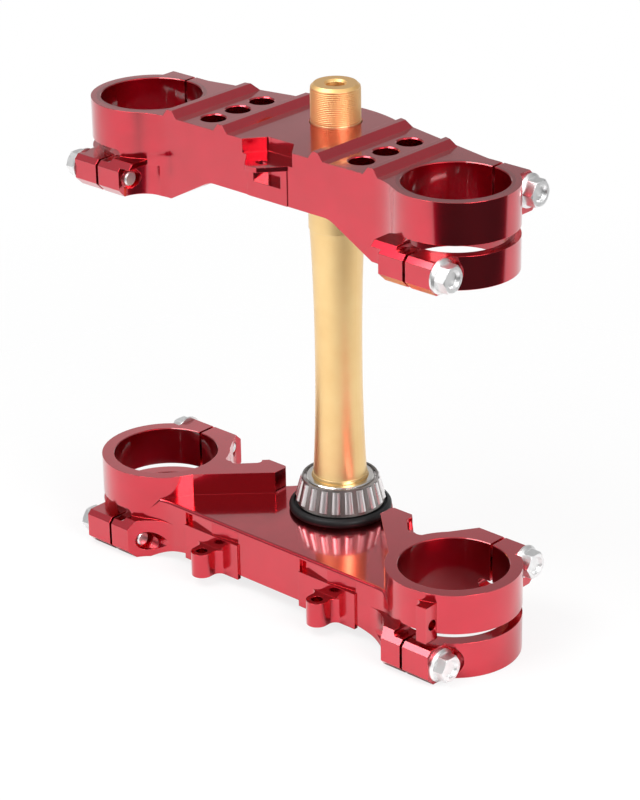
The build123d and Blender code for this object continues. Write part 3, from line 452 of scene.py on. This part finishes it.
@dataclass
class Ridge:
    """One turned thread ridge that stands on a round shank and runs along an axis."""

    name: str
    origin: Vector
    axis: Vector
    shank_radius: float
    crest_radius: float
    pitch: float
    turns: float
    steps: int = 96
    run_out_turns: float = 0.6
    least_share: float = 0.05
    sink: float = 0.1 * MM
    foot_share: float = 0.44
    crest_share: float = 0.1

    def sections(self) -> list[list[Vector]]:
        """Work out the ridge's cross sections, one after another along the helix.

        Returns:
            Lists of four points each.
        """
        turn = self.axis.to_track_quat("Z", "X").to_matrix()
        count = int(self.turns * self.steps)
        run_out_steps = self.run_out_turns * self.steps
        root = self.shank_radius - self.sink
        foot, top = self.foot_share, self.crest_share
        rows: list[list[Vector]] = []
        for index in range(count + 1):
            angle = 2 * math.pi * index / self.steps
            rise = self.pitch * index / self.steps
            share = min(1.0, index / run_out_steps, (count - index) / run_out_steps)
            height = (self.crest_radius - self.shank_radius) * max(self.least_share, share)
            crest = self.shank_radius + height
            row = []
            for radius, shift in ((root, -foot), (crest, -top), (crest, top), (root, foot)):
                x, y = radius * math.cos(angle), radius * math.sin(angle)
                row.append(self.origin + turn @ Vector((x, y, rise + shift * self.pitch)))
            rows.append(row)
        return rows

    def build(self, material: bpy.types.Material) -> bpy.types.Object:
        """Make the closed ridge and put it in the scene.

        Args:
            material: Finish of the ridge.

        Returns:
            The new mesh object.
        """
        rows = self.sections()
        points = [point for row in rows for point in row]
        faces: list[tuple[int, ...]] = [(3, 2, 1, 0)]
        for index in range(len(rows) - 1):
            start = 4 * index
            for corner in range(4):
                after = (corner + 1) % 4
                faces.append((start + corner, start + after, start + 4 + after, start + 4 + corner))
        last = 4 * (len(rows) - 1)
        faces.append((last, last + 1, last + 2, last + 3))
        mesh = bpy.data.meshes.new(self.name)
        mesh.from_pydata([tuple(point) for point in points], [], faces)
        mesh.materials.append(material)
        mesh.update()
        piece = bpy.data.objects.new(self.name, mesh)
        bpy.context.scene.collection.objects.link(piece)
        return piece


@dataclass
class SteeringStem:
    """Turned stem with the fine thread for its top nut."""

    slot: str = "stem_gold"
    thread_start: float = 223.2 * MM
    thread_end: float = 240.6 * MM
    thread_radius: float = 13.0 * MM
    crest_radius: float = 13.22 * MM
    pitch: float = 1.0 * MM

    def build(self, gold: bpy.types.Material) -> bpy.types.Object:
        """Dress the stem and cut its thread.

        Args:
            gold: Finish of the stem.

        Returns:
            The thread's ridge.
        """
        dress(["steering_stem"], gold)
        ridge = Ridge(
            name="stem_thread",
            origin=Vector((0, 0, self.thread_start)),
            axis=Vector((0, 0, 1)),
            shank_radius=self.thread_radius,
            crest_radius=self.crest_radius,
            pitch=self.pitch,
            turns=(self.thread_end - self.thread_start) / self.pitch,
        ).build(gold)
        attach(ridge, FIXED_BODY)
        return ridge


@dataclass
class ClampPair:
    """Top and bottom clamp, milled and anodised."""

    nodes: tuple[str, str] = ("top_clamp", "bottom_clamp")

    def build(self, red: bpy.types.Material) -> None:
        """Dress both clamps."""
        dress(list(self.nodes), red)


@dataclass
class PinchBolts:
    """Eight flanged bolts that close the clamp rings."""

    prefix: str = "pinch_bolt_"

    def build(self, steel: bpy.types.Material) -> None:
        """Dress the bolts."""
        dress([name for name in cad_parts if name.startswith(self.prefix)], steel)


@dataclass
class LowerBearing:
    """Tapered roller bearing with its cage and the seal under it."""

    ring: str = "bearing_inner_ring"
    cage: str = "bearing_cage"
    roller_prefix: str = "bearing_roller_"
    seal: str = "dust_seal"

    def build(self, finishes: dict[str, bpy.types.Material]) -> None:
        """Dress the bearing and the seal.

        Args:
            finishes: Materials by the part they are for.
        """
        rollers = [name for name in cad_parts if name.startswith(self.roller_prefix)]
        dress([self.ring], finishes["ring"])
        dress([self.cage], finishes["cage"])
        dress(rollers, finishes["roller"])
        dress([self.seal], finishes["seal"])


@dataclass(frozen=True)
class SoftBox:
    """A square lamp that points at the clamp set."""

    name: str
    place: tuple[float, float, float]
    size: float
    power: float


@dataclass
class Studio:
    """Pale floor, soft lamps and the photograph's camera."""

    floor_radius: float = 4.0
    floor_drop: float = 0.2 * MM
    floor_fade: tuple[float, float] = (0.25, 0.6)
    shadow_share: float = 0.2
    paper: float = 0.9
    dark: float = 0.045
    table_end: float = 0.355
    table_edge: float = 0.03
    table_turn: float = -20.0
    room_heights: tuple[float, float] = (0.3, 0.9)
    room_light: tuple[float, float] = (0.3, 0.7)
    dark_end: float = 0.15
    dark_width: tuple[float, float] = (0.3, 0.8)
    dark_heights: tuple[float, float] = (0.2, 0.5)
    backdrop_distance: float = 0.8
    backdrop_half_width: float = 1.0
    backdrop_top: float = 1.1
    backdrop_heights: tuple[float, float] = (0.3, 0.62)
    backdrop_glow: tuple[float, float] = (0.75, 0.25)
    lamps: tuple[SoftBox, ...] = (
        SoftBox("key_box", (-0.35, -0.75, 1.3), 0.9, 13.0),
        SoftBox("side_box", (1.3, -0.3, 0.8), 0.8, 15.0),
    )
    yaw: float = 42.631
    pitch: float = 24.312
    roll: float = -0.893
    target: tuple[float, float, float] = (-14.10 * MM, 0.0, 59.83 * MM)
    distance: float = 1542.5 * MM
    lens: float = 128.05
    sensor: float = 36.0

    def toward_camera(self) -> tuple[float, float, float]:
        """Give the level direction from the clamp set to the camera."""
        yaw = math.radians(self.yaw)
        return (math.sin(yaw), -math.cos(yaw), 0.0)

    def background(self) -> None:
        """Make the world: white behind the clamp set, a dimmer room round it for light."""
        world = bpy.data.worlds.new("studio_world")
        bpy.context.scene.world = world
        board = Board("", world)
        way = board.add("ShaderNodeTexCoord").outputs["Generated"]
        split = board.add("ShaderNodeSeparateXYZ")
        board.join(way, split.inputs[0])
        lift = board.spread(split.outputs["Z"], *self.room_heights, *self.room_light)
        front = board.add("ShaderNodeVectorMath", operation="DOT_PRODUCT")
        board.join(way, front.inputs[0])
        front.inputs[1].default_value = self.toward_camera()
        shade = board.spread(front.outputs["Value"], *self.dark_width, 1.0, self.dark_end)
        low = board.add("ShaderNodeMath", operation="MAXIMUM")
        board.join(shade, low.inputs[0])
        board.join(board.spread(split.outputs["Z"], *self.dark_heights, 0.0, 1.0), low.inputs[1])
        room = board.add("ShaderNodeMath", operation="MULTIPLY")
        board.join(lift, room.inputs[0])
        board.join(low.outputs[0], room.inputs[1])
        seen = board.add("ShaderNodeLightPath").outputs["Is Camera Ray"]
        strength = board.add("ShaderNodeMix")
        board.join(seen, strength.inputs[0])
        board.join(room.outputs[0], strength.inputs[2])
        strength.inputs[3].default_value = 1.0
        white = board.add("ShaderNodeBackground")
        white.inputs["Color"].default_value = (1.0, 1.0, 1.0, 1.0)
        board.join(strength.outputs[0], white.inputs["Strength"])
        output = board.add("ShaderNodeOutputWorld")
        board.join(white.outputs[0], output.inputs["Surface"])

    def floor(self) -> bpy.types.Object:
        """Lay the white table, which ends beside the clamp set and fades into the white behind.

        Returns:
            The floor object.
        """
        board = Board("pale_floor")
        place = board.add("ShaderNodeNewGeometry").outputs["Position"]
        turn = math.radians(self.table_turn)
        across = board.add("ShaderNodeVectorMath", operation="DOT_PRODUCT")
        board.join(place, across.inputs[0])
        across.inputs[1].default_value = (math.cos(turn), math.sin(turn), 0.0)
        paint = board.add("ShaderNodeBsdfDiffuse")
        end = self.table_end
        table = board.spread(across.outputs["Value"], end, end + self.table_edge, self.paper, self.dark)
        board.join(table, paint.inputs["Color"])
        seen_paint = board.add("ShaderNodeBsdfDiffuse")
        seen_paint.inputs["Color"].default_value = (self.paper, self.paper, self.paper, 1.0)
        glow = board.add("ShaderNodeEmission")
        glow.inputs["Color"].default_value = (1.0, 1.0, 1.0, 1.0)
        pale = board.add("ShaderNodeMixShader")
        pale.inputs[0].default_value = self.shadow_share
        board.join(glow.outputs[0], pale.inputs[1])
        board.join(seen_paint.outputs[0], pale.inputs[2])
        clear = board.add("ShaderNodeBsdfTransparent")
        length = board.add("ShaderNodeVectorMath", operation="LENGTH")
        board.join(place, length.inputs[0])
        fade = board.add("ShaderNodeMixShader")
        board.join(board.spread(length.outputs["Value"], *self.floor_fade, 0.0, 1.0), fade.inputs[0])
        board.join(pale.outputs[0], fade.inputs[1])
        board.join(clear.outputs[0], fade.inputs[2])
        seen = board.add("ShaderNodeLightPath").outputs["Is Camera Ray"]
        choice = board.add("ShaderNodeMixShader")
        board.join(seen, choice.inputs[0])
        board.join(paint.outputs[0], choice.inputs[1])
        board.join(fade.outputs[0], choice.inputs[2])
        material = board.finish(choice.outputs[0])
        height = CAD_LOW.z - self.floor_drop
        mesh = bpy.data.meshes.new("floor")
        reach = self.floor_radius
        corners = [(x * reach, y * reach, height) for x, y in ((-1, -1), (1, -1), (1, 1), (-1, 1))]
        mesh.from_pydata(corners, [], [(0, 1, 2, 3)])
        mesh.materials.append(material)
        floor = bpy.data.objects.new("floor", mesh)
        bpy.context.scene.collection.objects.link(floor)
        return floor

    def backdrop(self) -> bpy.types.Object:
        """Hang the paper behind the clamp set, lit less towards its top, out of the camera's sight.

        Returns:
            The backdrop object.
        """
        board = Board("backdrop_paper")
        place = board.add("ShaderNodeNewGeometry").outputs["Position"]
        split = board.add("ShaderNodeSeparateXYZ")
        board.join(place, split.inputs[0])
        glow = board.add("ShaderNodeEmission")
        glow.inputs["Color"].default_value = (1.0, 1.0, 1.0, 1.0)
        glowing = board.spread(split.outputs["Z"], *self.backdrop_heights, *self.backdrop_glow)
        board.join(glowing, glow.inputs["Strength"])
        front = Vector(self.toward_camera())
        side = Vector((-front.y, front.x, 0.0))
        middle = -front * self.backdrop_distance
        half, low, high = self.backdrop_half_width, CAD_LOW.z, self.backdrop_top
        outline = ((-half, low), (half, low), (half, high), (-half, high))
        corners = [middle + side * reach + Vector((0, 0, z)) for reach, z in outline]
        mesh = bpy.data.meshes.new("backdrop")
        mesh.from_pydata([tuple(corner) for corner in corners], [], [(0, 1, 2, 3)])
        mesh.materials.append(board.finish(glow.outputs[0]))
        paper = bpy.data.objects.new("backdrop", mesh)
        paper.visible_camera = False
        bpy.context.scene.collection.objects.link(paper)
        return paper

    def lamp(self, box: SoftBox) -> bpy.types.Object:
        """Hang one soft box.

        Args:
            box: Place in metres, side in metres and power in watts.

        Returns:
            The lamp object.
        """
        data = bpy.data.lights.new(box.name, "AREA")
        data.shape = "SQUARE"
        data.size = box.size
        data.energy = box.power
        lamp = bpy.data.objects.new(box.name, data)
        lamp.location = box.place
        aim = Vector(self.target) - Vector(box.place)
        lamp.rotation_mode = "QUATERNION"
        lamp.rotation_quaternion = aim.to_track_quat("-Z", "Y")
        bpy.context.scene.collection.objects.link(lamp)
        return lamp

    def camera(self) -> bpy.types.Object:
        """Set up the camera at the photograph's viewing angle.

        Returns:
            The camera object.
        """
        yaw, pitch, roll = (math.radians(angle) for angle in (self.yaw, self.pitch, self.roll))
        back = Vector((math.sin(yaw) * math.cos(pitch), -math.cos(yaw) * math.cos(pitch), math.sin(pitch)))
        level = Vector((math.cos(yaw), math.sin(yaw), 0.0))
        upright = back.cross(level)
        right = level * math.cos(roll) + upright * math.sin(roll)
        up = upright * math.cos(roll) - level * math.sin(roll)
        data = bpy.data.cameras.new("camera")
        data.lens = self.lens
        data.sensor_width = self.sensor
        camera = bpy.data.objects.new("camera", data)
        bpy.context.scene.collection.objects.link(camera)
        turn = Matrix((right, up, back)).transposed().to_4x4()
        camera.matrix_world = Matrix.Translation(Vector(self.target) + back * self.distance) @ turn
        bpy.context.scene.camera = camera
        return camera

    def build(self) -> None:
        """Set the whole stage."""
        self.background()
        self.floor()
        self.backdrop()
        for box in self.lamps:
            self.lamp(box)
        self.camera()
        bpy.context.scene.view_settings.view_transform = "Standard"


def dress(names: list[str], material: bpy.types.Material) -> None:
    """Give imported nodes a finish.

    Args:
        names: Nodes to dress.
        material: Their finish.
    """
    for name in names:
        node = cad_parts[name]
        node.data.materials.clear()
        node.data.materials.append(material)
        LOG.info("dressed %s in %s", name, material.name)


def main() -> None:
    """Build every assembly in order."""
    logging.basicConfig(level=logging.INFO, format="%(name)s %(message)s")
    red = RED_ANODISED.build()
    gold = GOLD_ANODISED.build()
    bolt_steel = BOLT_STEEL.build()
    bearing = {
        "ring": BEARING_STEEL.build(),
        "cage": CAGE_STEEL.build(),
        "roller": ROLLER_STEEL.build(),
        "seal": BLACK_RUBBER.build(),
    }
    ClampPair().build(red)
    thread = SteeringStem().build(gold)
    LOG.info("made %s with %d faces", thread.name, len(thread.data.polygons))
    PinchBolts().build(bolt_steel)
    LowerBearing().build(bearing)
    Studio().build()


if __name__ == "__main__":
    main()
